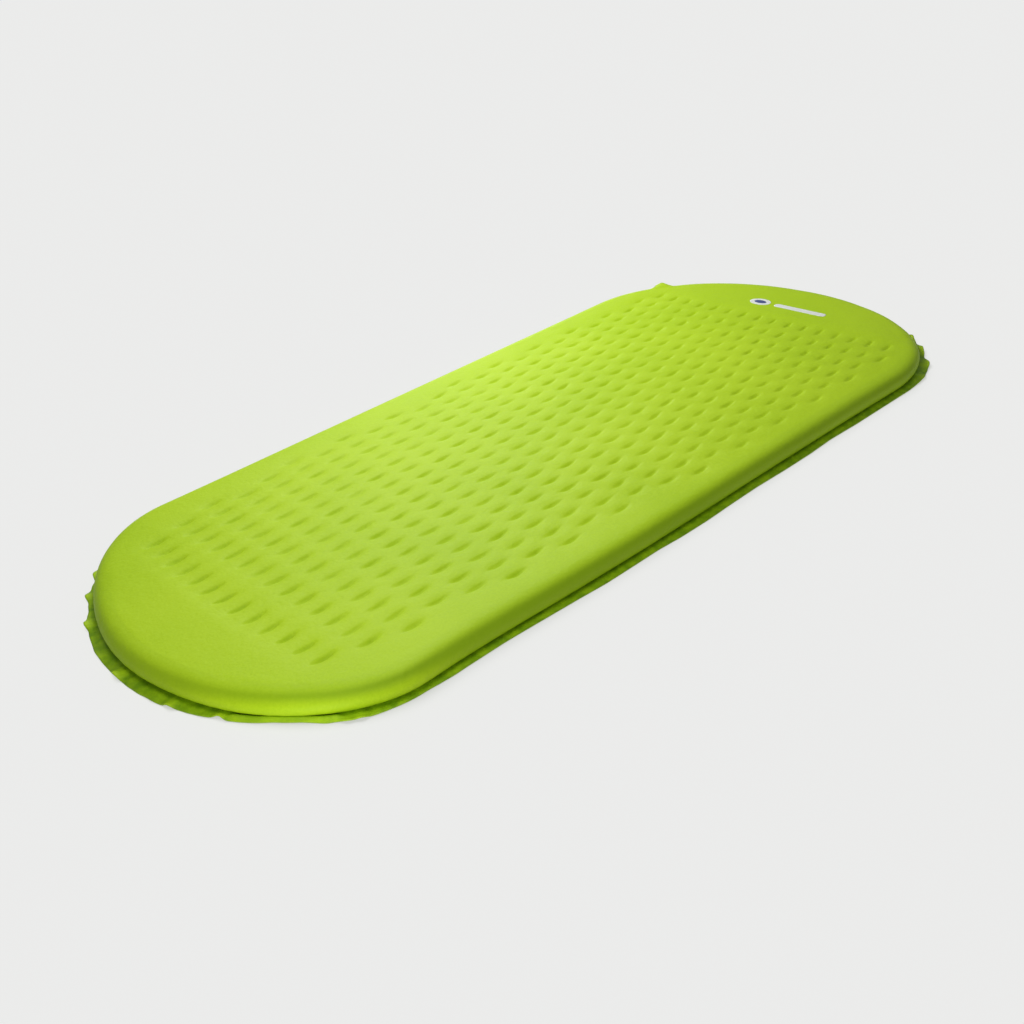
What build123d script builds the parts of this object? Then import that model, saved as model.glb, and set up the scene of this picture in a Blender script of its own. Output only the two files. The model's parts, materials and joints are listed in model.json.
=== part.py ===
from build123d import *
from math import atan2, degrees, hypot, radians, sin, cos
import os

# Three-quarter-length self-inflating sleeping mat.
# Millimetres, +Z up. The origin is on the ground under the middle of the mat, and +X points
# to the head end. All of the soft layers are glued or welded into one body; the screw valve
# at the head end's left corner is the only thing that moves.

# ---- driving dimensions: the mat ----
mat_length = 1200.0
head_width = 540.0
foot_width = 489.0
thickness = 25.0
flange_width = 7.0
foot_depth = 174.0
head_depth = 224.0
shoulder_radius = 13.0
tuck_radius = 9.0

# ---- layers ----
cover_gauge = 0.6
film_gauge = 0.2
foam_side_gap = 0.2
film_gap = 0.05

# ---- die-cut slots in the foam ----
row_pitch = 39.5
column_pitch = 26.0
row_count = 24
first_row_x = -461.0
slot_length = 27.0
slot_width = 7.0
foot_slot_margin = 50.0
head_slot_margin = 30.0
widest_slot_reach = 214.5
row_bow = 9.9
row_drift = 5.9
row_stagger = 0.5

# ---- print at the head end ----
print_gauge = 0.2
print_x = 499.0
bar_length = 87.0
bar_width = 12.0
bar_y = -22.0
panel_length = 34.0
panel_width = 25.0
panel_y = 47.0
spot_length = 20.0
spot_width = 12.0
spot_inset = 0.3

# ---- screw valve: stations are distances outward from the side wall, along the valve's axis ----
valve_turn = 59.0
valve_height = 9.5
passage_radius = 3.0
fin_width = 40.0
fin_height = 9.0
fin_start = -20.0
fin_end = -6.0
neck_radius = 5.0
collar_radius = 7.5
collar_start = 8.0
collar_end = 10.0
spigot_radius = 5.5
spigot_end = 23.0
ring_start = 14.5
ring_end = 15.3
ring_inner_radius = 4.95
ring_outer_radius = 6.4
ring_split = 2.0
seal_groove_start = 19.2
seal_groove_end = 20.8
seal_groove_radius = 4.2
seal_section = 0.6
filter_gauge = 2.0
filter_radius = 5.0
running_gap = 0.05
seat_gap = 0.05

knob_start = 10.4
knob_lip_end = 11.4
knob_recess_end = 15.5
knob_recess_radius = 6.6
knob_radius = 9.0
knob_grip_end = 22.5
knob_shoulder_end = 24.0
gasket_radius = 3.8
gasket_gauge = 1.0
web_gauge = 1.5
vent_radius = 0.8
vent_ring_radius = 4.7
vent_count = 6
mouth_radius = 6.6
mouth_inner_radius = 5.6
mouth_end = 30.0
flute_count = 14
flute_radius = 1.6
flute_depth = 0.7

# ---- sleeve and foam pocket round the valve's neck ----
sleeve_gap = 0.1
sleeve_start = -4.0
pocket_start = -26.0
pocket_end = 6.0
pocket_width = 46.0
pocket_height = 12.5
pocket_corner = 3.0

# ---- derived sizes ----
slope_steps = 12
body_length = mat_length - 2 * flange_width
foot_half = foot_width / 2 - flange_width
head_half = head_width / 2 - flange_width
foot_center = -body_length / 2 + foot_depth
head_center = body_length / 2 - head_depth
valve_base = (
    head_center + head_depth * cos(radians(valve_turn)),
    head_half * sin(radians(valve_turn)),
    valve_height,
)
outward_x = cos(radians(valve_turn)) / head_depth
outward_y = sin(radians(valve_turn)) / head_half
valve_plane = Plane(
    origin=valve_base,
    x_dir=(-outward_y, outward_x, 0),
    z_dir=(outward_x, outward_y, 0),
)


def side_slope(grow):
    """Slope of the straight side, the line that touches both end ellipses."""
    slope = 0.0
    for _ in range(slope_steps):
        head_reach = hypot((head_depth + grow) * slope, head_half + grow)
        foot_reach = hypot((foot_depth + grow) * slope, foot_half + grow)
        slope = (head_reach - foot_reach) / (head_center - foot_center)
    return slope


def end_turn(depth, half, slope):
    """Angle on an end ellipse, in degrees from +X, where the straight side touches it."""
    return degrees(atan2(half, -depth * slope))


def mat_outline(grow):
    """The mat's plan outline, grown outward from the side wall: two half ellipses and two sides."""
    slope = side_slope(grow)
    head_turn = end_turn(head_depth + grow, head_half + grow, slope)
    foot_turn = end_turn(foot_depth + grow, foot_half + grow, slope)
    with BuildLine() as outline:
        head = EllipticalCenterArc(
            (head_center, 0),
            head_depth + grow,
            head_half + grow,
            start_angle=-head_turn,
            arc_size=2 * head_turn,
        )
        foot = EllipticalCenterArc(
            (foot_center, 0),
            foot_depth + grow,
            foot_half + grow,
            start_angle=foot_turn,
            arc_size=360 - 2 * foot_turn,
        )
        Line(head @ 1, foot @ 0)
        Line(foot @ 1, head @ 0)
    make_face(outline.edges())


def plate(grow, bottom, top, mode=Mode.ADD):
    """A flat layer with the mat's outline."""
    with BuildSketch(Plane.XY.offset(bottom)) as layer:
        mat_outline(grow)
    extrude(layer.sketch, amount=top - bottom, mode=mode)


def turned(radius, start, end, mode=Mode.ADD):
    """A round stretch of the valve between two stations on its axis."""
    with BuildSketch(valve_plane.offset(start)) as disc:
        Circle(radius)
    extrude(disc.sketch, amount=end - start, mode=mode)


def wall_half_width(x):
    """Half the mat's width at x, to the side wall."""
    if x < foot_center:
        return foot_half * (1 - ((foot_center - x) / foot_depth) ** 2) ** 0.5
    if x > head_center:
        return head_half * (1 - ((x - head_center) / head_depth) ** 2) ** 0.5
    return foot_half + (head_half - foot_half) * (x - foot_center) / (head_center - foot_center)


def slot_points():
    """Centres of the foam's slots: staggered rows across the mat, every other row half a pitch over."""
    points = []
    for row in range(row_count):
        along = row / (row_count - 1)
        drift = row_drift * (2 * along - 1) ** 2
        row_x = first_row_x + row * row_pitch - drift
        margin = foot_slot_margin + (head_slot_margin - foot_slot_margin) * along
        reach = min(wall_half_width(row_x) - margin, widest_slot_reach)
        stagger = row_stagger * (row % 2)
        count = int(reach / column_pitch - stagger)
        columns = [stagger + k for k in range(-count - row % 2, count + 1)]
        for column in columns:
            y = column * column_pitch
            bow = row_bow * (1 - (y / reach) ** 2) if row == 0 else 0.0
            points.append((row_x - bow, y))
    return points


# ---- fabric covers ----
with BuildPart() as bottom_cover:
    plate(flange_width, 0, cover_gauge)
bottom_cover.part.label = "bottom_cover"

with BuildPart() as cover_cavity:
    plate(-cover_gauge, 2 * cover_gauge, thickness - cover_gauge)
    fillet(edges().group_by(Axis.Z)[-1], shoulder_radius - cover_gauge)
    fillet(edges().group_by(Axis.Z)[0], tuck_radius - cover_gauge)

with BuildPart() as top_cover:
    plate(0, cover_gauge, thickness)
    fillet(edges().group_by(Axis.Z)[-1], shoulder_radius)
    fillet(edges().group_by(Axis.Z)[0], tuck_radius)
    plate(flange_width, cover_gauge, 2 * cover_gauge)
    turned(neck_radius + sleeve_gap + cover_gauge, sleeve_start, collar_start)
    add(cover_cavity.part, mode=Mode.SUBTRACT)
    plate(-tuck_radius, cover_gauge, tuck_radius, Mode.SUBTRACT)
    turned(neck_radius + sleeve_gap, pocket_start, collar_start, Mode.SUBTRACT)
top_cover.part.label = "top_cover"

# ---- films that bond the foam to the covers ----
with BuildPart() as bottom_bond_film:
    plate(-tuck_radius - cover_gauge, cover_gauge, cover_gauge + film_gauge)
bottom_bond_film.part.label = "bottom_bond_film"

with BuildPart() as top_bond_film:
    plate(-shoulder_radius - cover_gauge, thickness - cover_gauge - film_gauge, thickness - cover_gauge)
top_bond_film.part.label = "top_bond_film"

# ---- open-cell foam core, with its slots and the pocket for the valve ----
foam_bottom = cover_gauge + film_gauge + film_gap
foam_ledge = 2 * cover_gauge + foam_side_gap
foam_top = thickness - cover_gauge - film_gauge - film_gap
foam_inset = cover_gauge + foam_side_gap

with BuildSketch() as slot_lens:
    with BuildLine():
        ThreePointArc((-slot_length / 2, 0), (0, slot_width / 2), (slot_length / 2, 0))
        ThreePointArc((slot_length / 2, 0), (0, -slot_width / 2), (-slot_length / 2, 0))
    make_face()

with BuildPart() as foam_core:
    plate(-foam_inset, foam_ledge, foam_top)
    fillet(edges().group_by(Axis.Z)[-1], shoulder_radius - foam_inset)
    fillet(edges().group_by(Axis.Z)[0], tuck_radius - foam_inset)
    plate(-tuck_radius - cover_gauge, foam_bottom, foam_ledge + film_gap)
    with BuildSketch(Plane.XY.offset(foam_bottom)):
        with Locations(*slot_points()):
            add(slot_lens.sketch)
    extrude(amount=foam_top - foam_bottom, mode=Mode.SUBTRACT)
    with BuildSketch(valve_plane.offset(pocket_start)):
        RectangleRounded(pocket_width, pocket_height, pocket_corner)
    extrude(amount=pocket_end - pocket_start, mode=Mode.SUBTRACT)
foam_core.part.label = "foam_core"

# ---- heat-transfer print at the head end: a plain bar beside a rounded panel with a spot ----
with BuildPart() as print_bar:
    with BuildSketch(Plane.XY.offset(thickness)):
        with Locations((print_x, bar_y)):
            SlotOverall(bar_length, bar_width, rotation=90)
    extrude(amount=print_gauge)
print_bar.part.label = "print_bar"

with BuildPart() as print_panel:
    with BuildSketch(Plane.XY.offset(thickness)):
        with Locations((print_x, panel_y)):
            Ellipse(panel_width / 2, panel_length / 2)
            Ellipse(spot_width / 2 + spot_inset, spot_length / 2 + spot_inset, mode=Mode.SUBTRACT)
    extrude(amount=print_gauge)
print_panel.part.label = "print_panel"

with BuildPart() as print_spot:
    with BuildSketch(Plane.XY.offset(thickness)):
        with Locations((print_x, panel_y)):
            Ellipse(spot_width / 2, spot_length / 2)
    extrude(amount=print_gauge)
print_spot.part.label = "print_spot"

# ---- valve body: weld fin, neck, collar and spigot in one moulding, with the air passage ----
with BuildPart() as valve_body:
    with BuildSketch(valve_plane.offset(fin_start)):
        with BuildLine():
            ThreePointArc((-fin_width / 2, 0), (0, fin_height / 2), (fin_width / 2, 0))
            ThreePointArc((fin_width / 2, 0), (0, -fin_height / 2), (-fin_width / 2, 0))
        make_face()
    extrude(amount=fin_end - fin_start)
    turned(neck_radius, fin_end, collar_start)
    turned(collar_radius, collar_start, collar_end)
    turned(spigot_radius, collar_end, spigot_end)
    with BuildSketch(valve_plane.offset(ring_start - running_gap)):
        Circle(spigot_radius + running_gap)
        Circle(ring_inner_radius - running_gap, mode=Mode.SUBTRACT)
    extrude(amount=ring_end - ring_start + 2 * running_gap, mode=Mode.SUBTRACT)
    with BuildSketch(valve_plane.offset(seal_groove_start)):
        Circle(spigot_radius + running_gap)
        Circle(seal_groove_radius, mode=Mode.SUBTRACT)
    extrude(amount=seal_groove_end - seal_groove_start, mode=Mode.SUBTRACT)
    turned(passage_radius, fin_start, spigot_end, Mode.SUBTRACT)
valve_body.part.label = "valve_body"

with BuildPart() as valve_filter:
    turned(filter_radius, fin_start - filter_gauge, fin_start)
valve_filter.part.label = "valve_filter"

# ---- small pieces carried on the spigot ----
with BuildPart() as retaining_ring:
    with BuildSketch(valve_plane.offset(ring_start)):
        Circle(ring_outer_radius)
        Circle(ring_inner_radius, mode=Mode.SUBTRACT)
        with Locations((0, ring_outer_radius)):
            Rectangle(ring_split, 2 * ring_outer_radius, mode=Mode.SUBTRACT)
    extrude(amount=ring_end - ring_start)
retaining_ring.part.label = "retaining_ring"

seal_ring_radius = spigot_radius - running_gap - seal_section
seal_plane = Plane(
    origin=valve_plane.offset((seal_groove_start + seal_groove_end) / 2).origin,
    x_dir=valve_plane.x_dir,
    z_dir=-valve_plane.y_dir,
)
with BuildPart() as spigot_seal:
    with BuildSketch(seal_plane):
        with Locations((seal_ring_radius, 0)):
            Circle(seal_section)
    revolve(axis=Axis(valve_plane.origin, valve_plane.z_dir))
spigot_seal.part.label = "spigot_seal"

# ---- knob and the gasket that it presses on the spigot's end ----
gasket_start = spigot_end + seat_gap
web_start = gasket_start + gasket_gauge + seat_gap

with BuildPart() as knob_gasket:
    turned(gasket_radius, gasket_start, gasket_start + gasket_gauge)
knob_gasket.part.label = "knob_gasket"

with BuildPart() as valve_knob:
    turned(knob_radius, knob_start, knob_grip_end)
    chamfer(edges().filter_by(GeomType.CIRCLE), flute_depth)
    turned(mouth_radius, knob_grip_end, mouth_end)
    with BuildSketch(valve_plane.offset(knob_start)):
        with PolarLocations(knob_radius + flute_radius - flute_depth, flute_count):
            Circle(flute_radius)
    extrude(amount=knob_grip_end - knob_start, mode=Mode.SUBTRACT)
    turned(spigot_radius + running_gap, knob_start, web_start, Mode.SUBTRACT)
    turned(knob_recess_radius, knob_lip_end, knob_recess_end, Mode.SUBTRACT)
    turned(mouth_inner_radius, web_start + web_gauge, mouth_end, Mode.SUBTRACT)
    with BuildSketch(valve_plane.offset(web_start)):
        with PolarLocations(vent_ring_radius, vent_count):
            Circle(vent_radius)
    extrude(amount=web_gauge, mode=Mode.SUBTRACT)
valve_knob.part.label = "valve_knob"

os.makedirs("parts", exist_ok=True)
export_step(bottom_cover.part, "parts/bottom_cover.step")
export_step(bottom_bond_film.part, "parts/bottom_bond_film.step")
export_step(foam_core.part, "parts/foam_core.step")
export_step(top_bond_film.part, "parts/top_bond_film.step")
export_step(top_cover.part, "parts/top_cover.step")
export_step(print_bar.part, "parts/print_bar.step")
export_step(print_panel.part, "parts/print_panel.step")
export_step(print_spot.part, "parts/print_spot.step")
export_step(valve_body.part, "parts/valve_body.step")
export_step(valve_filter.part, "parts/valve_filter.step")
export_step(retaining_ring.part, "parts/retaining_ring.step")
export_step(spigot_seal.part, "parts/spigot_seal.step")
export_step(knob_gasket.part, "parts/knob_gasket.step")
export_step(valve_knob.part, "parts/valve_knob.step")
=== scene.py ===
"""Self-inflating sleeping pad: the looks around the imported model.

Lengths are in millimetres, as in the CAD source, and become metres where a mesh is made.
s runs round the pad's edge from the tip of the foot end, positive along the near side.
"""

import json

import bpy
import numpy as np
from mathutils import Euler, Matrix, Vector
from mathutils.geometry import delaunay_2d_cdt

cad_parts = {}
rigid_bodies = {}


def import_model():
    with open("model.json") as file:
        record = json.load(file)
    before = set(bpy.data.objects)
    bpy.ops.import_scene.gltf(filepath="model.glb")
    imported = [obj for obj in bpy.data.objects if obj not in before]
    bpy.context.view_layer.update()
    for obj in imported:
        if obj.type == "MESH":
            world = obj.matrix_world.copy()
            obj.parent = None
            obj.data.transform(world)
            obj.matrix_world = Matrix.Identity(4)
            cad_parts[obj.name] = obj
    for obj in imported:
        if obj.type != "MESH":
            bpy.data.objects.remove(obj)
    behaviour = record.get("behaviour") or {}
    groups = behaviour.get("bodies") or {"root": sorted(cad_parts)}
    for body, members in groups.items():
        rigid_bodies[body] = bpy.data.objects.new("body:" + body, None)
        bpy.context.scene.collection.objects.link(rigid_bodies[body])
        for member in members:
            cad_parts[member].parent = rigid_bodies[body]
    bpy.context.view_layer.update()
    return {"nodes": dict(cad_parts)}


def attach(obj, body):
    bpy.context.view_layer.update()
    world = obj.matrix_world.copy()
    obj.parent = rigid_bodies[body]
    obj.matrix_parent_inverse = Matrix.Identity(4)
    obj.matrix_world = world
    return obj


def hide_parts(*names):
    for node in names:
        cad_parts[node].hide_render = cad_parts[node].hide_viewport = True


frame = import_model()

MM = 0.001

# ---- the pad's sizes ----
FOOT_DEPTH, HEAD_DEPTH = 173.0, 224.0
FOOT_HALF, HEAD_HALF = 238.0, 263.5
FOOT_FULLNESS, HEAD_FULLNESS = 1.87, 2.04
BODY_HALF_LENGTH = 592.5
FOOT_CENTER = FOOT_DEPTH - BODY_HALF_LENGTH
HEAD_CENTER = BODY_HALF_LENGTH - HEAD_DEPTH
TOP = 25.0
COVER_GAUGE = 0.6

# the wall: a full bulge halfway up, a rounded shoulder above it, tucked in to the weld below it
BULGE_Z = 12.0
SHOULDER_INSET = 19.0
SHOULDER_FULLNESS = 2.25
TUCK_INSET = 6.0
TUCK_Z = 2.7

# the welded flange
FLANGE_REACH = 7.0
FLANGE_EDGE_Z = 1.25

# the mesh round the edge and inward
END_STEP = 3.0
SIDE_STEP = 4.4
STEP_BLEND = 60.0
FLANGE_RINGS = 9
TUCK_RINGS = 9
SHOULDER_RINGS = 14
WALL_RINGS = FLANGE_RINGS + TUCK_RINGS + SHOULDER_RINGS
TOP_RINGS = 108
SPINE_SHARE = 0.5

# the foam's slots, which the top cover sinks into
ROW_PITCH, COLUMN_PITCH = 39.5, 26.0
ROW_COUNT = 24
FIRST_ROW_X = -461.0
SLOT_LENGTH, SLOT_WIDTH = 27.0, 7.0
FOOT_SLOT_MARGIN, HEAD_SLOT_MARGIN = 50.0, 30.0
WIDEST_REACH = 214.5
ROW_BOW = 9.9
ROW_DRIFT = 5.9
CAD_FOOT_DEPTH, CAD_FOOT_HALF = 174.0, 237.5
CAD_FOOT_CENTER, CAD_HEAD_CENTER = -419.0, 369.0
CAD_HEAD_HALF = 263.0

# the valve's axis
VALVE_BASE = np.array([484.369, 225.435, 9.5])
VALVE_OUT = np.array([0.576461, 0.817125, 0.0])
VALVE_ACROSS = np.array([-0.817125, 0.576461, 0.0])


# ---------------------------------------------------------------- shape helpers
def superellipse(center, depth, half, fullness, angles):
    """Points of a superellipse centred on the pad's long axis."""
    c, s = np.cos(angles), np.sin(angles)
    x = center + depth * np.sign(c) * np.abs(c) ** (2 / fullness)
    y = half * np.sign(s) * np.abs(s) ** (2 / fullness)
    return np.column_stack([x, y])


OUTLINE_POINTS = 1500
SIDE_POINTS = 900


def near_outline():
    """The near half of the wall's outline, from the foot's tip to the head's, as a fine polyline.

    The side is the line that touches both ends' curves: its slope is found by a few rounds.
    """
    foot_turn = np.linspace(np.pi, 1.5 * np.pi, OUTLINE_POINTS)
    head_turn = np.linspace(1.5 * np.pi, 2 * np.pi, OUTLINE_POINTS)
    foot = superellipse(FOOT_CENTER, FOOT_DEPTH, FOOT_HALF, FOOT_FULLNESS, foot_turn)
    head = superellipse(HEAD_CENTER, HEAD_DEPTH, HEAD_HALF, HEAD_FULLNESS, head_turn)
    slope = 0.0
    for _ in range(6):
        i = np.argmin(foot @ [slope, 1.0])
        j = np.argmin(head @ [slope, 1.0])
        slope = -(head[j, 1] - foot[i, 1]) / (head[j, 0] - foot[i, 0])
    side = np.linspace(foot[i], head[j], SIDE_POINTS)[1:-1]
    return np.vstack([foot[: i + 1], side, head[j:]]), i, j


def cumulative(points):
    return np.concatenate([[0.0], np.cumsum(np.linalg.norm(np.diff(points, axis=0), axis=1))])


def smooth_round(values, passes):
    """Smooths values that run round a closed loop."""
    for _ in range(passes):
        values = 0.25 * np.roll(values, 1, 0) + 0.5 * values + 0.25 * np.roll(values, -1, 0)
    return values


# how far the wall is drawn in from the plain outline: (s, inset)
SIDE_DRAW = [
    (-1300, 0.0),
    (-1400, 1.5),
    (-1494, 3.0),
    (330, 0.0),
    (360, 2.2),
    (420, 2.2),
    (510, 0.4),
    (600, 0.0),
    (700, 1.5),
    (800, 4.0),
    (900, 5.5),
    (1000, 7.0),
    (1110, 7.5),
    (1200, 6.0),
    (1300, 5.5),
    (1400, 5.0),
    (1494, 3.0),
]
# the same at the tip of the foot, where the flange keeps its place: (s, inset)
FOOT_DRAW = [(-260, 0.0), (-190, 1.5), (-110, 3.4), (0, 3.8), (70, 3.0), (150, 0.0)]


def along_edge(s, table, column):
    """Reads a table of values at stations round the edge."""
    table = sorted(table)
    at = np.array([row[0] for row in table], float)
    value = np.array([row[column] for row in table], float)
    return np.interp(s, at, value, left=0.0, right=value[-1] if at[-1] > 1490 else 0.0)


def near_ends(s, foot_length, head_start, foot_margin, head_margin, blend):
    """1 at the rounded ends, 0 along the straight sides, blended over a length between."""
    foot = np.clip((foot_length + foot_margin - np.abs(s)) / blend, 0, 1)
    head = np.clip((np.abs(s) - head_start + head_margin) / blend, 0, 1)
    return np.maximum(foot, head)


def edge_stations():
    """Round the whole edge: points, outward normals and s. Far-side points mirror near-side ones."""
    line, foot_end, head_start = near_outline()
    along = cumulative(line)
    foot_length = along[foot_end]
    head_length = along[-1] - along[len(line) - (OUTLINE_POINTS - head_start)]
    head_start_s = along[-1] - head_length
    ends = near_ends(along, foot_length, head_start_s, STEP_BLEND, STEP_BLEND, STEP_BLEND)
    density = 1 / (SIDE_STEP + (END_STEP - SIDE_STEP) * ends)
    count_at = np.concatenate([[0.0], np.cumsum(0.5 * (density[1:] + density[:-1]) * np.diff(along))])
    half = int(round(count_at[-1]))
    s = np.interp(np.linspace(0, count_at[-1], half + 1), count_at, along)
    near = np.column_stack([np.interp(s, along, line[:, k]) for k in range(2)])
    near[0, 1] = near[-1, 1] = 0.0
    far = near[-2:0:-1] * [1, -1]
    points = np.vstack([near, far])
    s_all = np.concatenate([s, -s[-2:0:-1]])
    tangent = np.roll(points, -1, 0) - np.roll(points, 1, 0)
    tangent /= np.linalg.norm(tangent, axis=1)[:, None]
    normal = smooth_round(np.column_stack([tangent[:, 1], -tangent[:, 0]]), 4)
    normal /= np.linalg.norm(normal, axis=1)[:, None]
    draw = along_edge(s_all, SIDE_DRAW, 1) + along_edge(s_all, FOOT_DRAW, 1)
    points = points - normal * smooth_round(draw, 30)[:, None]
    return points, normal, s_all, foot_length, head_start_s


def cad_half_width(x):
    if x < CAD_FOOT_CENTER:
        return CAD_FOOT_HALF * (1 - ((CAD_FOOT_CENTER - x) / CAD_FOOT_DEPTH) ** 2) ** 0.5
    if x > CAD_HEAD_CENTER:
        return CAD_HEAD_HALF * (1 - ((x - CAD_HEAD_CENTER) / HEAD_DEPTH) ** 2) ** 0.5
    share = (x - CAD_FOOT_CENTER) / (CAD_HEAD_CENTER - CAD_FOOT_CENTER)
    return CAD_FOOT_HALF + (CAD_HEAD_HALF - CAD_FOOT_HALF) * share


def slot_points():
    """Centres of the slots, as the foam is cut: staggered rows, closer to the edge at the head."""
    points = []
    for row in range(ROW_COUNT):
        along = row / (ROW_COUNT - 1)
        row_x = FIRST_ROW_X + row * ROW_PITCH - ROW_DRIFT * (2 * along - 1) ** 2
        margin = FOOT_SLOT_MARGIN + (HEAD_SLOT_MARGIN - FOOT_SLOT_MARGIN) * along
        reach = min(cad_half_width(row_x) - margin, WIDEST_REACH)
        stagger = 0.5 * (row % 2)
        count = int(reach / COLUMN_PITCH - stagger)
        for k in range(-count - row % 2, count + 1):
            y = (stagger + k) * COLUMN_PITCH
            bow = ROW_BOW * (1 - (y / reach) ** 2) if row == 0 else 0.0
            points.append((row_x - bow, y, along))
    return points


SLOTS = slot_points()

# how the cover sinks into a slot: a sharp lens-shaped crease in a shallow dish
CREASE_DEPTH = 2.3
CREASE_HALF_WIDTH = 3.9
CREASE_LENGTH = 30.0
CREASE_BEND = 0.7
DISH_DEPTH = 1.65
DISH_LENGTH, DISH_WIDTH = 15.0, 8.5
# beyond this far along and across from a slot's centre, its dish is too shallow to count
DIMPLE_REACH_X, DIMPLE_REACH_Y = 42, 28
DIMPLE_SEED = 11


def dimples(x, y):
    """How far the cover sinks below its level at each point; deeper dimples towards the foot."""
    sink = np.zeros_like(x)
    vary = np.random.default_rng(DIMPLE_SEED)
    for cx, cy, along in SLOTS:
        turn, longer, deeper, curl = vary.normal(0, 1, 4)
        angle = np.radians(3.0 * turn)
        length = CREASE_LENGTH * (1.08 - 0.16 * along) * (1 + 0.05 * longer)
        depth = CREASE_DEPTH * (1.5 - 0.45 * along**0.5) * (1 + 0.12 * deeper)
        hollow = DISH_DEPTH * (1.3 - 0.75 * along**0.5)
        near = np.nonzero((np.abs(x - cx) < DIMPLE_REACH_X) & (np.abs(y - cy) < DIMPLE_REACH_Y))
        dx, dy = x[near] - cx, y[near] - cy
        u = dx * np.cos(angle) + dy * np.sin(angle)
        v = dy * np.cos(angle) - dx * np.sin(angle)
        q = np.clip(2 * u / length, -1, 1)
        v = v + CREASE_BEND * (1 + 0.4 * curl) * (1 - q * q)
        lens = np.maximum(CREASE_HALF_WIDTH * np.sqrt(1 - q * q), 0.3)
        across = np.clip(1 - np.abs(v) / lens, 0, 1)
        crease = depth * (1 - q * q) * across**1.35
        dish = hollow * np.exp(-((u / DISH_LENGTH) ** 2) - (v / DISH_WIDTH) ** 2)
        sink[near] += crease + dish
    return sink


# ---------------------------------------------------------------- camera, stage and lights
# the photo's viewpoint: focal length on a 36 mm sensor, place in metres, turn in degrees
CAMERA_LENS = 38.06
CAMERA_PLACE = (-0.8536, -0.8620, 0.6075)
CAMERA_TURN = (59.909, 4.680, -44.274)


def add_camera():
    camera = bpy.data.cameras.new("camera")
    camera.lens = CAMERA_LENS
    camera.sensor_width = 36.0
    camera.clip_end = 50.0
    holder = bpy.data.objects.new("camera", camera)
    holder.location = CAMERA_PLACE
    holder.rotation_euler = Euler(np.radians(CAMERA_TURN))
    bpy.context.scene.collection.objects.link(holder)
    bpy.context.scene.camera = holder


def lights_only(light, name):
    """Keeps a light to the objects of one collection, which is made if need be."""
    if name not in bpy.data.collections:
        bpy.data.collections.new(name)
    light.light_linking.receiver_collection = bpy.data.collections[name]


def add_sun(name, turn, height, strength, softness, color):
    """A soft distant light that comes from a compass turn (degrees from +X) and a height."""
    light = bpy.data.lights.new(name, "SUN")
    light.energy = strength
    light.angle = np.radians(softness)
    light.color = color
    holder = bpy.data.objects.new(name, light)
    holder.rotation_euler = Euler((0, np.radians(90 - height), np.radians(turn)))
    bpy.context.scene.collection.objects.link(holder)
    return holder


def add_panel(name, place, aim, size, power, color):
    """A square studio softbox at a place, facing a point."""
    light = bpy.data.lights.new(name, "AREA")
    light.size = size
    light.energy = power
    light.color = color
    holder = bpy.data.objects.new(name, light)
    holder.location = place
    holder.rotation_euler = (Vector(aim) - Vector(place)).to_track_quat("-Z", "Y").to_euler()
    bpy.context.scene.collection.objects.link(holder)
    return holder


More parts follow.
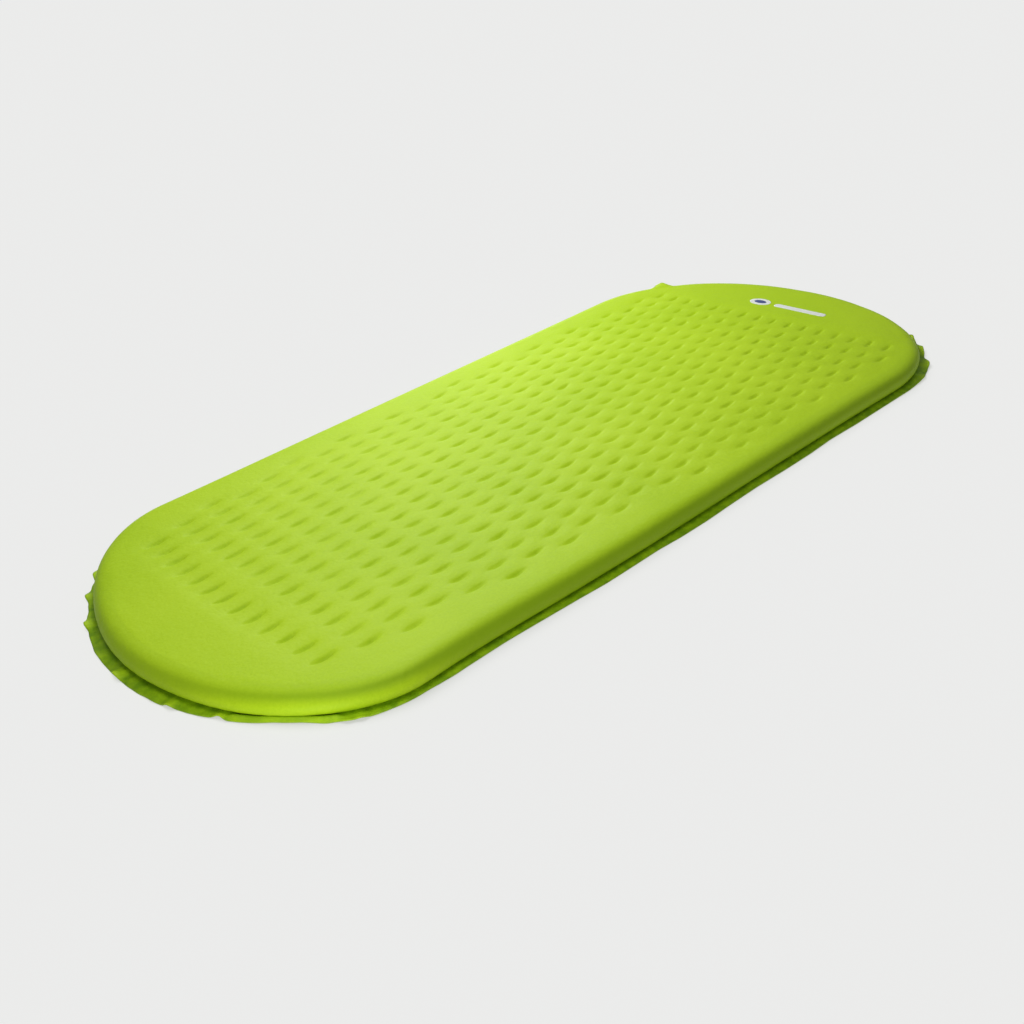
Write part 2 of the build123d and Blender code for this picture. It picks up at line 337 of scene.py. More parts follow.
class Nodes:
    """A short way to write a material's nodes."""

    def __init__(self, name):
        self.material = bpy.data.materials.new(name)
        self.material.use_nodes = True
        self.tree = self.material.node_tree
        self.tree.nodes.clear()
        self.out = self.tree.nodes.new("ShaderNodeOutputMaterial")
        self.place = self.add("ShaderNodeTexCoord").outputs["Object"]

    def add(self, kind, **settings):
        node = self.tree.nodes.new(kind)
        for key, value in settings.items():
            setattr(node, key, value)
        return node

    def put(self, socket, value):
        if isinstance(value, bpy.types.NodeSocket):
            self.tree.links.new(value, socket)
        else:
            socket.default_value = value

    def noise(self, scale, detail=2.0, roughness=0.5):
        node = self.add("ShaderNodeTexNoise")
        self.put(node.inputs["Vector"], self.place)
        self.put(node.inputs["Scale"], scale)
        self.put(node.inputs["Detail"], detail)
        self.put(node.inputs["Roughness"], roughness)
        return node.outputs["Fac"]

    def math(self, operation, a, b=0.0, clamp=False):
        node = self.add("ShaderNodeMath", operation=operation, use_clamp=clamp)
        self.put(node.inputs[0], a)
        self.put(node.inputs[1], b)
        return node.outputs[0]

    def ramp(self, value, stops):
        node = self.add("ShaderNodeValToRGB")
        self.put(node.inputs["Fac"], value)
        ramp = node.color_ramp
        while len(ramp.elements) < len(stops):
            ramp.elements.new(0.5)
        for element, (at, color) in zip(ramp.elements, stops):
            element.position = at
            element.color = (*color, 1.0)
        return node.outputs["Color"]

    def mix(self, share, a, b):
        node = self.add("ShaderNodeMix", data_type="RGBA")
        self.put(node.inputs[0], share)
        self.put(node.inputs[6], a if isinstance(a, bpy.types.NodeSocket) else (*a, 1.0))
        self.put(node.inputs[7], b if isinstance(b, bpy.types.NodeSocket) else (*b, 1.0))
        return node.outputs[2]

    def bump(self, height, distance, strength=1.0, normal=None):
        node = self.add("ShaderNodeBump")
        self.put(node.inputs["Height"], height)
        self.put(node.inputs["Distance"], distance)
        self.put(node.inputs["Strength"], strength)
        if normal:
            self.put(node.inputs["Normal"], normal)
        return node.outputs["Normal"]

    def attribute(self, name):
        return self.add("ShaderNodeAttribute", attribute_name=name).outputs["Fac"]

    def thread(self, pitch, axis):
        """Height of threads laid side by side along one axis, pitch in metres."""
        node = self.add("ShaderNodeTexWave", wave_type="BANDS", bands_direction=axis)
        self.put(node.inputs["Vector"], self.place)
        self.put(node.inputs["Scale"], 0.1 * np.pi / pitch)
        self.put(node.inputs["Distortion"], 0.6)
        self.put(node.inputs["Detail"], 1.0)
        self.put(node.inputs["Detail Scale"], 2.0)
        return node.outputs["Fac"]

    def shader(self, color, roughness, normal=None, **uniform):
        node = self.add("ShaderNodeBsdfPrincipled")
        color = color if isinstance(color, bpy.types.NodeSocket) else (*color, 1.0)
        self.put(node.inputs["Base Color"], color)
        self.put(node.inputs["Roughness"], roughness)
        if normal:
            self.put(node.inputs["Normal"], normal)
        for key, value in uniform.items():
            socket = node.inputs[key.replace("_", " ")]
            socket.default_value = (*value, 1.0) if isinstance(value, tuple) else value
        self.put(self.out.inputs["Surface"], node.outputs[0])
        return self.material


FLOOR_SHADE = 0.837
FLOOR_BOUNCE = 0.46
FLOOR_PAINT = 0.32


def floor_material():
    """A pale studio floor that glows like a lit backdrop, under thin paint that takes shadows."""
    m = Nodes("studio_floor")
    paint = m.add("ShaderNodeBsdfDiffuse")
    m.put(paint.inputs["Color"], (FLOOR_PAINT, FLOOR_PAINT, 0.97 * FLOOR_PAINT, 1.0))
    glow = m.add("ShaderNodeEmission")
    seen = m.add("ShaderNodeLightPath").outputs["Is Camera Ray"]
    extra = m.math("MULTIPLY", seen, FLOOR_SHADE - FLOOR_PAINT - FLOOR_BOUNCE)
    m.put(glow.inputs["Strength"], m.math("ADD", FLOOR_BOUNCE, extra))
    both = m.add("ShaderNodeAddShader")
    m.put(both.inputs[0], paint.outputs[0])
    m.put(both.inputs[1], glow.outputs[0])
    m.put(m.out.inputs["Surface"], both.outputs[0])
    return m.material


WORLD_SHADE = 0.28


# the studio's softboxes, which light the mat only: (name, place, aim, size, power, colour)
SOFTBOXES = [
    ("back_softbox", (0.22, 0.60, 0.80), (0.14, 0.10, 0.0), 0.5, 8.3, (1.0, 0.99, 0.97)),
    ("rim_softbox", (1.05, 1.40, 0.62), (0.25, 0.25, 0.0), 0.6, 4.2, (1.0, 1.0, 1.0)),
    ("foot_softbox", (-0.47, -0.26, 0.85), (-0.45, -0.18, 0.0), 0.4, 2.9, (1.0, 1.0, 0.98)),
    ("low_softbox", (-0.645, -0.32, 0.05), (-0.50, -0.18, 0.012), 0.08, 0.24, (1.0, 1.0, 0.98)),
]
SUN_TURN, SUN_HEIGHT, SUN_SOFTNESS = 100.0, 62.0, 50.0


def add_floor():
    mesh = bpy.data.meshes.new("studio_floor")
    half = 12.0
    corners = [(-half, -half, 0), (half, -half, 0), (half, half, 0), (-half, half, 0)]
    mesh.from_pydata(corners, [], [(0, 1, 2, 3)])
    mesh.materials.append(floor_material())
    floor = bpy.data.objects.new("studio_floor", mesh)
    bpy.context.scene.collection.objects.link(floor)
    return floor


def add_world():
    """Dim all-round light; the camera sees a backdrop as pale as the floor."""
    world = bpy.data.worlds.new("studio")
    bpy.context.scene.world = world
    world.use_nodes = True
    nodes, links = world.node_tree.nodes, world.node_tree.links
    nodes["Background"].inputs["Color"].default_value = (0.95, 0.97, 1.0, 1.0)
    nodes["Background"].inputs["Strength"].default_value = WORLD_SHADE
    backdrop = nodes.new("ShaderNodeBackground")
    backdrop.inputs["Color"].default_value = (1.0, 1.0, 0.99, 1.0)
    backdrop.inputs["Strength"].default_value = FLOOR_SHADE
    choice = nodes.new("ShaderNodeMixShader")
    links.new(nodes.new("ShaderNodeLightPath").outputs["Is Camera Ray"], choice.inputs[0])
    links.new(nodes["Background"].outputs[0], choice.inputs[1])
    links.new(backdrop.outputs[0], choice.inputs[2])
    links.new(choice.outputs[0], nodes["World Output"].inputs["Surface"])


def add_stage():
    floor = add_floor()
    add_world()
    sun_strength = (1 - WORLD_SHADE) * np.pi / np.sin(np.radians(SUN_HEIGHT))
    sun = add_sun("floor_light", SUN_TURN, SUN_HEIGHT, sun_strength, SUN_SOFTNESS, (1.0, 1.0, 1.0))
    lights_only(sun, "stage")
    bpy.data.collections["stage"].objects.link(floor)
    for softbox in SOFTBOXES:
        lights_only(add_panel(*softbox), "object")
    bpy.context.scene.view_settings.view_transform = "Standard"


# ---------------------------------------------------------------- materials
LIME = (0.400, 0.596, 0.008)
LIME_DEEP = (0.362, 0.560, 0.005)
LIME_PALE = (0.432, 0.626, 0.012)
# painted shade on the flange and the groove's bottom, darker in creases than on crests
LIME_FLANGE_CREASE_SHADE = (0.150, 0.300, 0.002)
LIME_FLANGE_CREST_SHADE = (0.270, 0.450, 0.004)
# painted shade where the wall turns down under the shoulder
LIME_PAINTED_SHADE = (0.190, 0.325, 0.002)


def cover_material():
    """Brushed polyester: fine weave, soft mottling, a smoother pressed weld along the flange; the flange
    and the groove's bottom are painted dark as shade, the lip and high facets paler as painted
    highlights, and the wall under the shoulder gets painted shade.
    """
    m = Nodes("cover_fabric")
    weld = m.attribute("weld")
    broad = m.noise(5.0, 3.0)
    fine = m.noise(420.0, 2.0, 0.6)
    speckle = m.noise(1400.0, 2.0, 0.6)
    tone = m.math("ADD", m.math("MULTIPLY", broad, 0.55), m.math("MULTIPLY", fine, 0.45))
    color = m.ramp(tone, [(0.36, LIME_DEEP), (0.50, LIME), (0.66, LIME_PALE)])
    # painted shade: the flange and the groove's bottom are painted dark, creases darker than crests, and
    # less so where the lip and facets are painted paler as highlights
    painted_flange_shade = m.ramp(m.noise(85.0, 2.0, 0.5), [(0.36, LIME_FLANGE_CREASE_SHADE), (0.64, LIME_FLANGE_CREST_SHADE)])
    color = m.mix(m.math("MULTIPLY", weld, 0.95), color, painted_flange_shade)
    # painted shade on the wall and shoulder where the cloth turns down
    color = m.mix(m.math("MULTIPLY", m.attribute("shoulder"), 0.6), color, LIME_PAINTED_SHADE)
    weave = m.math("MULTIPLY", m.thread(0.0009, "X"), m.thread(0.0009, "Y"))
    height = m.math("ADD", m.math("MULTIPLY", weave, 0.35), m.math("MULTIPLY", speckle, 0.65))
    normal = m.bump(height, 0.00022, 0.55)
    crumple = m.math("ADD", m.noise(60.0, 3.0, 0.6), m.math("MULTIPLY", m.noise(190.0, 2.0, 0.6), 0.3))
    soft = m.bump(crumple, 0.0016, m.math("ADD", 0.55, m.math("MULTIPLY", weld, 0.45)), normal)
    rough = m.math("ADD", 0.52, m.math("MULTIPLY", fine, 0.12))
    rough = m.math("SUBTRACT", rough, m.math("MULTIPLY", weld, 0.12))
    return m.shader(color, rough, soft, Specular_IOR_Level=0.17)


def base_material():
    """The underside: the same cloth with a matt anti-slip face of small raised dots."""
    m = Nodes("base_fabric")
    dots = m.add("ShaderNodeTexVoronoi", feature="F1")
    m.put(dots.inputs["Vector"], m.place)
    m.put(dots.inputs["Scale"], 260.0)
    m.put(dots.inputs["Randomness"], 0.15)
    dot = m.math("LESS_THAN", dots.outputs["Distance"], 0.26)
    weld = m.attribute("weld")
    dot = m.math("MULTIPLY", dot, m.math("SUBTRACT", 1.0, weld, clamp=True))
    tone = m.ramp(m.noise(9.0, 3.0), [(0.35, (0.285, 0.425, 0.030)), (0.65, (0.335, 0.480, 0.045))])
    color = m.mix(m.math("MULTIPLY", dot, 0.7), tone, (0.205, 0.315, 0.022))
    height = m.math("ADD", m.math("MULTIPLY", dot, 0.7), m.math("MULTIPLY", m.noise(1200.0), 0.3))
    return m.shader(color, 0.72, m.bump(height, 0.0003, 0.6), Specular_IOR_Level=0.25)


def foam_material():
    m = Nodes("foam")
    cells = m.add("ShaderNodeTexVoronoi", feature="SMOOTH_F1")
    m.put(cells.inputs["Vector"], m.place)
    m.put(cells.inputs["Scale"], 700.0)
    tone = m.ramp(m.noise(14.0, 4.0, 0.6), [(0.3, (0.74, 0.69, 0.53)), (0.7, (0.84, 0.80, 0.66))])
    color = m.mix(m.math("MULTIPLY", cells.outputs["Distance"], 0.35), tone, (0.55, 0.49, 0.34))
    return m.shader(color, 0.9, m.bump(cells.outputs["Distance"], 0.0008, 0.7), Sheen_Weight=0.1)


def print_material(name, color, worn):
    """A rubbery transfer print that has taken on a little of the weave and worn thin in specks."""
    m = Nodes(name)
    specks = m.ramp(m.noise(900.0, 3.0, 0.65), [(0.62, (0, 0, 0)), (0.74, (1, 1, 1))])
    share = m.math("MULTIPLY", specks, 0.4)
    tone = m.mix(m.noise(40.0), color, tuple(0.9 * c for c in color))
    height = m.math("MULTIPLY", m.thread(0.0009, "X"), m.thread(0.0009, "Y"))
    color = m.mix(share, tone, worn)
    return m.shader(color, 0.42, m.bump(height, 0.00012, 0.5), Specular_IOR_Level=0.45)


def plastic_material(name, color, roughness, grain=0.5):
    """Moulded plastic with a fine spark-eroded grain and slight handling wear."""
    m = Nodes(name)
    fine = m.noise(2600.0, 2.0, 0.5)
    smear = m.noise(180.0, 3.0, 0.6)
    tone = m.mix(m.math("MULTIPLY", smear, 0.35), color, tuple(min(1.0, 1.35 * c + 0.02) for c in color))
    rough = m.math("ADD", roughness - 0.08, m.math("MULTIPLY", smear, 0.18))
    return m.shader(tone, rough, m.bump(fine, 0.00008, grain), Specular_IOR_Level=0.5)


def mesh_material(name, color):
    """Fine woven filter gauze."""
    m = Nodes(name)
    weave = m.math("MULTIPLY", m.thread(0.0006, "Y"), m.thread(0.0006, "Z"))
    tone = m.mix(weave, tuple(0.4 * c for c in color), color)
    return m.shader(tone, 0.6, m.bump(weave, 0.0002, 0.8))


# ---------------------------------------------------------------- the covers' shape
def irregular_folds(s, length, spacing, seed):
    """A zigzag round the edge: -1 to 1 at irregular stations, straight between them."""
    draw = np.random.default_rng(seed)
    at, value, sign = [], [], 1.0
    station = 0.0
    while station < length:
        at.append(station)
        value.append(sign * draw.uniform(0.45, 1.0))
        sign = -sign
        station += spacing * draw.uniform(0.55, 1.6)
    return np.interp(s % length, np.array(at + [length]), np.array(value + [value[0]]))


# the gathers that the flange throws, and how narrow it is between them: (s, reach, lift)
GATHERS = [
    (-262, 0.0, 1.2),
    (-236, -2.0, 0.4),
    (-208, -1.0, 0.8),
    (-197, 2.8, 4.4),
    (-186, -2.5, 0.6),
    (-166, -1.5, 0.5),
    (-155, 2.6, 4.0),
    (-144, -2.0, 0.8),
    (-128, -2.5, 0.5),
    (-112, -1.0, 1.2),
    (-100, 2.8, 6.4),
    (-92, -0.5, 0.5),
    (-60, 0.6, 0.4),
    (-42, 1.0, 2.2),
    (-24, -0.5, 0.3),
    (-11, -0.4, 0.4),
    (0, 1.5, 6.8),
    (9, -0.4, 0.4),
    (40, 0.2, 0.3),
    (52, 0.8, 1.6),
    (66, 0.8, 0.3),
    (72, 1.0, 1.2),
    (78, 1.8, 5.8),
    (85, -0.6, 0.4),
    (108, -1.0, 0.3),
    (124, -2.0, 0.8),
    (131, -3.5, 5.0),
    (137, -1.6, 0.6),
    (150, -2.4, 0.4),
    (165, -3.6, 0.5),
    (180, -5.6, 0.6),
    (207, -5.6, 0.6),
    (218, -4.2, 0.4),
    (228, -2.2, 0.3),
    (238, -2.4, 0.4),
    (245, 1.6, 3.4),
    (250, -0.5, 0.8),
    (257, 1.8, 4.2),
    (264, -0.8, 0.5),
    (288, -3.0, 0.4),
    (318, -4.6, 0.4),
    (350, -2.0, 0.3),
    (380, -2.2, 0.3),
    (413, -2.9, 0.3),
    (470, -2.4, 0.2),
    (508, -2.0, 0.1),
    (545, -0.6, 0.0),
    (600, -1.6, 0.0),
    (625, -1.8, 0.0),
    (660, 0.2, 0.0),
    (705, 0.6, 0.1),
    (745, -0.4, 0.1),
    (795, -0.8, 0.2),
    (850, 0.4, 0.1),
    (900, 0.4, 0.2),
    (945, -1.4, 0.3),
    (1000, 0.0, 0.1),
    (1060, -0.4, 0.2),
    (1110, -0.6, 0.4),
    (1140, 0.6, 0.6),
    (1166, 4.4, 2.8),
    (1186, 3.6, 0.6),
    (1214, 6.6, 4.2),
    (1233, 1.0, 0.8),
    (1264, 5.2, 5.2),
    (1284, 2.4, 1.0),
    (1306, 6.0, 6.0),
    (1326, 1.5, 0.8),
    (1372, 3.5, 3.8),
    (1400, -1.0, 0.6),
    (1432, 3.0, 4.2),
    (1466, -1.5, 0.8),
]
# the photo shows the edge between these stations; beyond them the folds are made up
SEEN_START, SEEN_END = -270, 1466
FOLD_SPACING, FOLD_SEED = 27.0, 3
CRINKLE_SPACING, CRINKLE_SEED = 9.0, 5
PUCKER_SPACING, PUCKER_SEED = 7.0, 17
LIP_START, LIP_END = 136.0, 244.0
LIP_HEIGHT = 3.0
# painted highlights: how much paler the lip is painted, and the facets that stand higher than a lift
LIP_PAINTED_HIGHLIGHT = 0.35
FACET_PAINTED_HIGHLIGHT = 0.9
FACET_LIFT = 1.2
VALVE_CALM = 34.0

# the fabric's tent over the valve's neck: half its width at the wall, how much it spreads over the
# shoulder, and how much narrower it is on its steep side
TENT_HALF_WIDTH = 12.0
TENT_SPREAD = 18.0
TENT_NARROW = 0.62


def flange_fields(edge, s, total, foot_length, head_start):
    """How far the flange's edge reaches past its plain line, and how far it lifts, all the way round."""
    ends = near_ends(s, foot_length, head_start, foot_margin=20, head_margin=30, blend=60)
    hidden = np.where((s > SEEN_START) & (s < SEEN_END), 0.0, ends)
    folds = irregular_folds(s, 2 * total, FOLD_SPACING, FOLD_SEED)
    small = irregular_folds(s, 2 * total, CRINKLE_SPACING, CRINKLE_SEED)
    reach = along_edge(s, GATHERS, 1) + along_edge(s, FOOT_DRAW, 1)
    lift = along_edge(s, GATHERS, 2)
    reach = reach + hidden * (3.0 * folds + 0.5) + 0.35 * small * (0.3 + ends)
    lift = lift + hidden * 2.6 * np.clip(folds + 0.35, 0, 2)
    lift = lift + 0.6 * np.clip(small, 0, 1) * (0.2 + ends)
    from_valve = np.hypot(*(edge - VALVE_BASE[:2]).T)
    calm = 1 - np.clip(1.4 - from_valve / VALVE_CALM, 0, 1)
    return smooth_round(reach * calm, 1), smooth_round(lift * calm, 1)


def valve_tongue(points, height_share, half_width):
    """Pulls the wall out over the valve's neck: a tent from the shoulder to the collar."""
    rel = points - VALVE_BASE
    across = rel @ VALVE_ACROSS
    across = np.where(across > 0, across, -across / TENT_NARROW) / half_width
    ridge = np.cos(0.5 * np.pi * np.clip(across, 0, 1)) ** 2
    at = np.array([-1.0, -0.55, -0.25, 0.0, 0.25, 0.5, 0.8, 1.0])
    out = np.interp(height_share, at, [-TUCK_INSET, 5.0, 7.4, 7.5, 7.0, 5.5, -5.0, -SHOULDER_INSET])
    up = np.interp(height_share, at, [TUCK_Z, 3.2, 7.0, 14.5, 21.5, 27.0, 27.6, TOP])
    target = points + np.outer(out - rel @ VALVE_OUT, VALVE_OUT)
    target[:, 2] = up
    near = (rel @ VALVE_OUT > -60)[:, None]
    return np.where(near, points + ridge[:, None] * (target - points), points)


# where the wall folds in under the shoulder and swells out again below it: (s, amount)
SWELL = [
    (-190, 0.0),
    (-100, 0.3),
    (0, 0.45),
    (120, 0.8),
    (200, 1.1),
    (300, 0.95),
    (360, 0.45),
    (450, 0.2),
    (600, 0.15),
    (900, 0.15),
    (1100, 0.1),
    (1250, 0.0),
]

# painted shade on the cloth where it turns down:
# (s, amount, the height where it is deepest, spread above that, spread below it)
SHADE = [
    (-330, 0.0, 20.0, 3.0, 5.0),
    (-200, 0.5, 20.0, 4.0, 8.0),
    (-60, 0.9, 20.0, 5.0, 9.0),
    (60, 0.8, 20.5, 4.5, 8.0),
    (130, 0.9, 21.5, 3.0, 4.0),
    (200, 1.2, 22.3, 2.6, 3.2),
    (310, 1.3, 22.0, 2.8, 4.0),
    (380, 1.3, 20.5, 3.8, 12.0),
    (700, 1.2, 20.0, 3.8, 12.0),
    (1150, 1.0, 20.0, 3.6, 12.0),
    (1300, 0.0, 20.0, 3.0, 5.0),
]


# how far the shoulder sinks beside the head's near corner, where the mat is filled least: (s, drop)
SAG = [(640, 0.0), (800, 0.9), (900, 1.7), (1150, 2.0), (1300, 1.2), (1420, 0.0)]
SAG_REACH = 24.0


def wall_swell(z):
    """How far the wall stands out at a height where it swells, beside its plain line."""
    return 1.4 * np.exp(-(((z - 10.5) / 4.2) ** 2)) - 2.0 * np.exp(-(((z - 20.5) / 3.6) ** 2))


def cover_rings():
    """The top cover's outer face as rings of points, from the flange's edge to the spine of the top."""
    edge, normal, s, foot_length, head_start = edge_stations()
    total = np.abs(s).max()
    reach, lift = flange_fields(edge, s, total, foot_length, head_start)
    rings, weld = [], []

    lip = np.clip(np.minimum(s - LIP_START, LIP_END - s) / 8, 0, 1)
    for k in range(FLANGE_RINGS):
        out = 1 - k / FLANGE_RINGS
        offset = -TUCK_INSET + (FLANGE_REACH + TUCK_INSET + reach) * out
        z = TUCK_Z + (FLANGE_EDGE_Z - TUCK_Z) * out + lift * out**1.4
        z = z + lip * LIP_HEIGHT * np.sin(np.pi * np.clip((out - 0.15) / 0.85, 0, 1)) ** 2
        rings.append(np.column_stack([edge + normal * offset[:, None], z]))
        # painted light on the flange: dark as shade, and paler as painted highlights on the lip and on
        # facets higher than a lift
        facet_highlight = np.clip((lift - FACET_LIFT) / 2.0, 0, 1) * out**0.7 * (1 - lip)
        weld.append(1 - LIP_PAINTED_HIGHLIGHT * lip - FACET_PAINTED_HIGHLIGHT * facet_highlight)

    ends = near_ends(s, foot_length, head_start, foot_margin=30, head_margin=40, blend=80)
    pucker = irregular_folds(s, 2 * total, PUCKER_SPACING, PUCKER_SEED) * (0.12 + 0.5 * ends)
    pucker = smooth_round(pucker, 2)
    swell = along_edge(s, SWELL, 1)
    sag = along_edge(s, SAG, 1)
    for k in range(TUCK_RINGS):
        turn = -0.5 * np.pi * (1 - k / TUCK_RINGS)
        offset = -TUCK_INSET + TUCK_INSET * np.cos(turn)
        z = BULGE_Z + (BULGE_Z - TUCK_Z) * np.sin(turn)
        offset = offset + pucker * np.sin(np.pi * k / TUCK_RINGS) ** 0.7 * (1 - 0.6 * k / TUCK_RINGS)
        offset = offset + swell * wall_swell(z)
        ring = np.column_stack([edge + normal * offset[:, None], np.full(len(s), z)])
        rings.append(valve_tongue(ring, (k / TUCK_RINGS) - 1, TENT_HALF_WIDTH))
        # painted shade: the groove's lowest ring is painted dark like the flange, and is as smooth as
        # the weld
        weld.append(np.full(len(s), 1.0 if k == 0 else 0.0))
    for k in range(SHOULDER_RINGS):
        turn = 0.5 * np.pi * k / SHOULDER_RINGS
        offset = -SHOULDER_INSET * (1 - np.cos(turn) ** (2 / SHOULDER_FULLNESS))
        z = BULGE_Z + (TOP - BULGE_Z) * np.sin(turn) ** (2 / SHOULDER_FULLNESS)
        offset = offset + swell * wall_swell(z)
        z = z - sag * (z - BULGE_Z) / (TOP - BULGE_Z)
        ring = np.column_stack([edge + normal * offset[:, None], z])
        half_width = TENT_HALF_WIDTH + TENT_SPREAD * (k / SHOULDER_RINGS) ** 0.5
        rings.append(valve_tongue(ring, k / SHOULDER_RINGS, half_width))
        weld.append(np.zeros(len(s)))

    start = edge - normal * SHOULDER_INSET
    x = start[:, 0]
    foot_share = np.clip((FOOT_CENTER - x) / (FOOT_DEPTH - SHOULDER_INSET), 0, 1)
    head_share = np.clip((x - HEAD_CENTER) / (HEAD_DEPTH - SHOULDER_INSET), 0, 1)
    spine_x = np.clip(x, FOOT_CENTER, HEAD_CENTER)
    spine_x = spine_x - SPINE_SHARE * FOOT_DEPTH * foot_share + SPINE_SHARE * HEAD_DEPTH * head_share
    spine = np.column_stack([spine_x, np.zeros(len(s))])
    for k in range(TOP_RINGS):
        t = k / (TOP_RINGS - 1)
        flat = start + (spine - start) * t
        inward = np.linalg.norm(flat - start, axis=1)
        rings.append(np.column_stack([flat, TOP - sag * np.exp(-((inward / SAG_REACH) ** 2))]))
        weld.append(np.zeros(len(s)))
    return np.array(rings), np.array(weld), s


def grid_faces(rings, around, first=0, closed=False, flip=False):
    """Quads between rings of points; closed joins the last ring's two sides along the spine."""
    index = first + np.arange(rings * around).reshape(rings, around)
    if closed:
        last = index[-1, 0] + np.minimum(np.arange(around), around - np.arange(around))
        index = np.vstack([index[:-1], last[None]])
    nxt = np.roll(index, -1, axis=1)
    quads = np.stack([index[:-1], nxt[:-1], nxt[1:], index[1:]], axis=-1).reshape(-1, 4)
    return quads[:, ::-1] if flip else quads


def make_piece(name, points, faces, material, smooth=True, **tones):
    """A mesh object from points in millimetres, without its unused points."""
    faces = [tuple(dict.fromkeys(int(i) for i in face)) for face in faces]
    faces = [face for face in faces if len(face) > 2]
    used = np.unique(np.concatenate([np.array(face) for face in faces]))
    place = np.full(len(points), -1)
    place[used] = np.arange(len(used))
    mesh = bpy.data.meshes.new(name)
    faces = [tuple(place[list(face)].tolist()) for face in faces]
    mesh.from_pydata((points[used] * MM).tolist(), [], faces)
    mesh.validate()
    for tone, values in tones.items():
        layer = mesh.attributes.new(tone, "FLOAT", "POINT")
        layer.data.foreach_set("value", values[used].astype(np.float32))
    mesh.polygons.foreach_set("use_smooth", [smooth] * len(mesh.polygons))
    mesh.materials.append(material)
    piece = bpy.data.objects.new(name, mesh)
    bpy.context.scene.collection.objects.link(piece)
    return piece


def face_normals_grid(rings):
    """Outward unit normals of a closed-round grid of rings."""
    around = np.roll(rings, -1, axis=1) - np.roll(rings, 1, axis=1)
    inward = np.gradient(rings, axis=0)
    normal = np.cross(around, inward)
    length = np.linalg.norm(normal, axis=2, keepdims=True)
    return normal / np.maximum(length, 1e-9)


# ---------------------------------------------------------------- inflating the cover
# the cloth's settings while air blows it up, and how its movement is kept small and smooth
AIR_CLOTH = {
    "quality": 6,
    "mass": 0.25,
    "tension_stiffness": 12,
    "compression_stiffness": 12,
    "shear_stiffness": 6,
    "bending_stiffness": 0.4,
    "tension_damping": 12,
    "compression_damping": 12,
    "air_damping": 3,
    "use_pressure": True,
    "uniform_pressure_force": 4.0,
}
AIR_STEPS = 20
AIR_CAP = 1.0
AIR_SMOOTHING = 36


def inflate(rings, cap):
    """Cloth simulation of the top cover on a coarse copy of its rings.

    Air pressure lifts it between the slots, where the bonded foam holds it down. Returns the movement
    of each point of the fine rings, kept below the cap.
    """
    picks_r = np.unique(np.concatenate([
        np.arange(FLANGE_RINGS, WALL_RINGS, 3),
        np.arange(WALL_RINGS, len(rings) - 1, 4),
        [len(rings) - 1],
    ]))
    picks_s = np.arange(0, rings.shape[1], 2)
    if rings.shape[1] % 2:
        picks_s = picks_s[:-1]
    coarse = rings[np.ix_(picks_r, picks_s)]
    shape = coarse.shape[:2]
    faces = grid_faces(shape[0], shape[1], closed=True)
    points = coarse.reshape(-1, 3)
    mesh = bpy.data.meshes.new("air")
    mesh.from_pydata((points * MM).tolist(), [], [tuple(dict.fromkeys(f)) for f in faces.tolist()])
    cloth = bpy.data.objects.new("air", mesh)
    bpy.context.scene.collection.objects.link(cloth)
    held = np.zeros(shape)
    held[0] = 1.0
    held = held.reshape(-1)
    for cx, cy, _ in SLOTS:
        u = np.clip(points[:, 0] - cx, -SLOT_LENGTH / 2, SLOT_LENGTH / 2)
        gap = np.hypot(points[:, 0] - cx - u, points[:, 1] - cy)
        held = np.maximum(held, np.clip(1.3 - gap / 8.0, 0, 1) * (points[:, 2] > TOP - 1))
    group = cloth.vertex_groups.new(name="held")
    for i, weight in enumerate(held):
        if weight > 0.02:
            group.add([i], float(weight), "REPLACE")
    cloth.modifiers.new("cloth", "CLOTH")
    settings = cloth.modifiers["cloth"].settings
    for key, value in AIR_CLOTH.items():
        setattr(settings, key, value)
    settings.vertex_group_mass = "held"
    settings.effector_weights.gravity = 0.0
    cloth.modifiers["cloth"].collision_settings.use_collision = False
    scene = bpy.context.scene
    for step in range(1, AIR_STEPS + 1):
        scene.frame_set(step)
    result = cloth.evaluated_get(bpy.context.evaluated_depsgraph_get()).to_mesh()
    moved = np.empty(len(result.vertices) * 3)
    result.vertices.foreach_get("co", moved)
    move = moved.reshape(-1, 3) / MM - points
    scene.frame_set(1)
    bpy.data.objects.remove(cloth)
    length = np.linalg.norm(move, axis=1, keepdims=True)
    print(f"inflate: largest move {length.max():.2f} mm, mean {length.mean():.2f} mm")
    move *= cap * np.tanh(length / cap) / np.maximum(length, 1e-6)
    move = move.reshape(*shape, 3)
    half = shape[1] // 2
    for i in range(1, half):
        move[-1, shape[1] - i] = move[-1, i]
    return spread_movement(move, picks_r, picks_s, rings.shape)


def spread_movement(move, picks_r, picks_s, shape):
    """The movement of every point of the fine rings, from that of the picked ones, smoothed."""
    by_ring = np.empty((shape[0], len(picks_s), 3))
    for j in range(len(picks_s)):
        for axis in range(3):
            by_ring[:, j, axis] = np.interp(np.arange(shape[0]), picks_r, move[:, j, axis])
    by_ring[:FLANGE_RINGS] = 0.0
    fine = np.empty((shape[0], shape[1], 3))
    wrap_s = np.append(picks_s, shape[1])
    for k in range(shape[0]):
        for axis in range(3):
            closed = np.append(by_ring[k, :, axis], by_ring[k, 0, axis])
            fine[k, :, axis] = np.interp(np.arange(shape[1]), wrap_s, closed)
    for _ in range(AIR_SMOOTHING):
        fine[1:-1] = 0.25 * fine[:-2] + 0.5 * fine[1:-1] + 0.25 * fine[2:]
        fine = 0.25 * np.roll(fine, 1, 1) + 0.5 * fine + 0.25 * np.roll(fine, -1, 1)
    return fine


def rim_faces(first, second, around):
    """The narrow strip between the first ring of one face and that of the other."""
    a = first + np.arange(around)
    b = second + np.arange(around)
    return np.stack([b, np.roll(b, -1), np.roll(a, -1), a], axis=-1)


